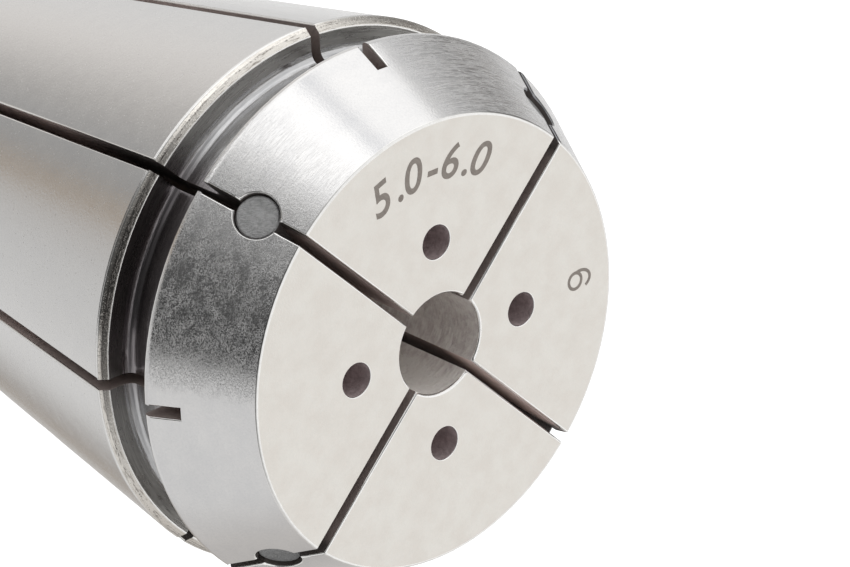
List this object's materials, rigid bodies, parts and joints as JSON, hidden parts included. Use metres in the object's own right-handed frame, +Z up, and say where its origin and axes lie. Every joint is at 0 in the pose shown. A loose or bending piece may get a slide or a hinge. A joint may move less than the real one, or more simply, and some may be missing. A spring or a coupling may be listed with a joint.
{
  "type": "er collet",
  "caption": "Slotted steel spring collet with a long 8 degree taper, nut groove, 30 degree nose cone, coolant holes in the face and rubber plugs sealing the front slots.",
  "frame": {"origin": "centre of the rear end, on the collet's axis", "axes": "+Z up the axis and out of the front face, +X and +Y along two of the front slots"},
  "size_m": [0.033, 0.033, 0.04],
  "materials": {
    "ground_steel": "hardened and ground, satin on the tapers, fine matt on the front face",
    "seal_rubber": "matt, seated just below the nose cone"
  },
  "bodies": {
    "root": {"collet_body": "ground_steel", "seal_plug_1": "seal_rubber", "seal_plug_2": "seal_rubber", "seal_plug_3": "seal_rubber", "seal_plug_4": "seal_rubber"}
  },
  "joints": []
}
